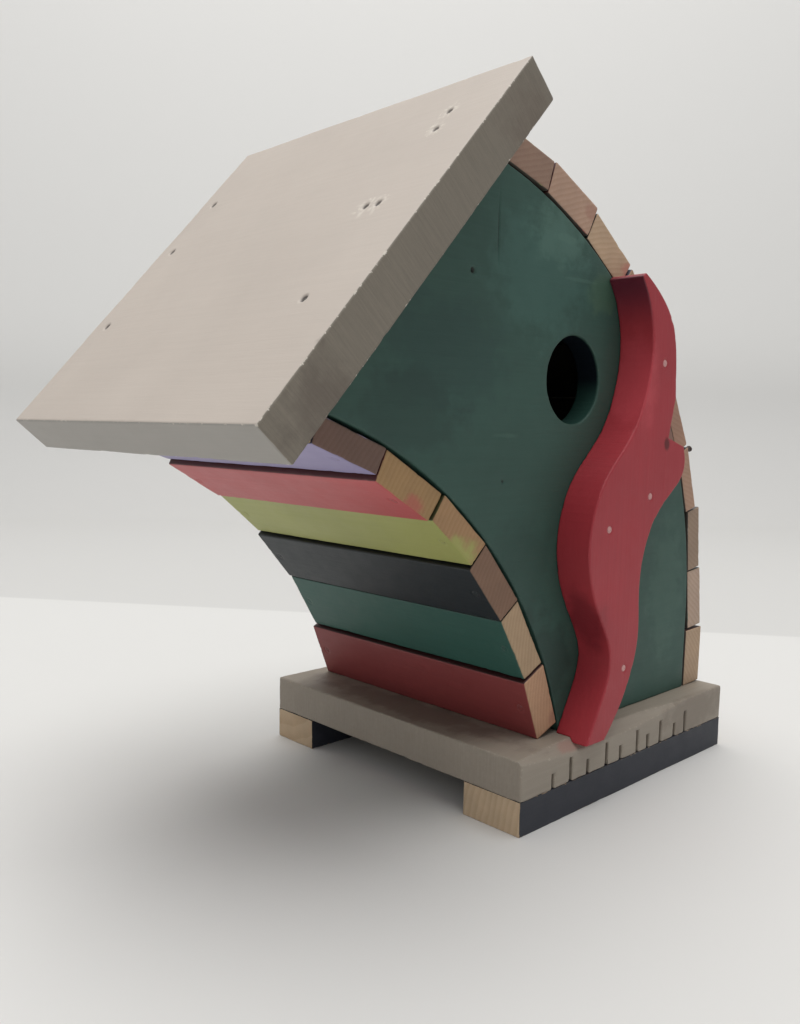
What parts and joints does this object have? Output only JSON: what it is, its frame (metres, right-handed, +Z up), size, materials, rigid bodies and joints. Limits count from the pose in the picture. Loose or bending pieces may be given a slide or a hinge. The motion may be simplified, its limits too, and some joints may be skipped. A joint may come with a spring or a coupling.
{
  "type": "birdhouse",
  "caption": "Small wooden birdhouse with a leaning curved body of painted slats, a single sloping roof board, a round entrance, a wavy front trim and a swinging clean-out cover.",
  "frame": {"origin": "centre of the base's footprint, on the surface that the two feet stand on", "axes": "+Z up, -Y out of the front wall, +X to the right seen from the front; the body leans towards -X"},
  "size_m": [0.3322, 0.1958, 0.3242],
  "materials": {
    "taupe_paint": "matt paint, worn at the arrises",
    "navy_paint": "matt paint, end grain left bare",
    "green_paint": "matt paint over fine grain",
    "red_paint": "satin paint",
    "brick_paint": "matt paint, end grain left bare",
    "lavender_paint": "matt paint, end grain left bare",
    "olive_paint": "matt paint, end grain left bare",
    "black_paint": "matt paint, end grain left bare",
    "bare_wood": "planed, weathered",
    "nail_steel": "dull",
    "painted_nail": "dull, touched with paint"
  },
  "bodies": {
    "house": {"back_wall": "green_paint", "base_board": "taupe_paint", "base_screws": "nail_steel", "cover_screw": "nail_steel", "cover_washer": "nail_steel", "foot_nails": "nail_steel", "front_foot": "navy_paint", "front_wall": "green_paint", "left_slat_1": "brick_paint", "left_slat_2": "green_paint", "left_slat_3": "black_paint", "left_slat_4": "olive_paint", "left_slat_5": "brick_paint", "left_slat_6": "lavender_paint", "left_slat_7": "olive_paint", "left_slat_nails": "nail_steel", "proud_nail": "nail_steel", "rear_foot": "navy_paint", "right_slat_1": "brick_paint", "right_slat_10": "olive_paint", "right_slat_2": "green_paint", "right_slat_3": "bare_wood", "right_slat_4": "black_paint", "right_slat_5": "olive_paint", "right_slat_6": "brick_paint", "right_slat_7": "lavender_paint", "right_slat_8": "green_paint", "right_slat_9": "brick_paint", "right_slat_nails": "nail_steel", "roof_board": "taupe_paint", "roof_nails": "nail_steel", "serpentine_trim": "red_paint", "trim_nails": "painted_nail"},
    "cover": {"cleanout_cover": "taupe_paint"}
  },
  "joints": [
    {"name": "cover_swing", "type": "hinge", "parent": "house", "child": "cover", "pos_m": [0.004, 0.0866, 0.126], "axis": [0, 1, 0], "range_deg": [-175, 175]}
  ]
}
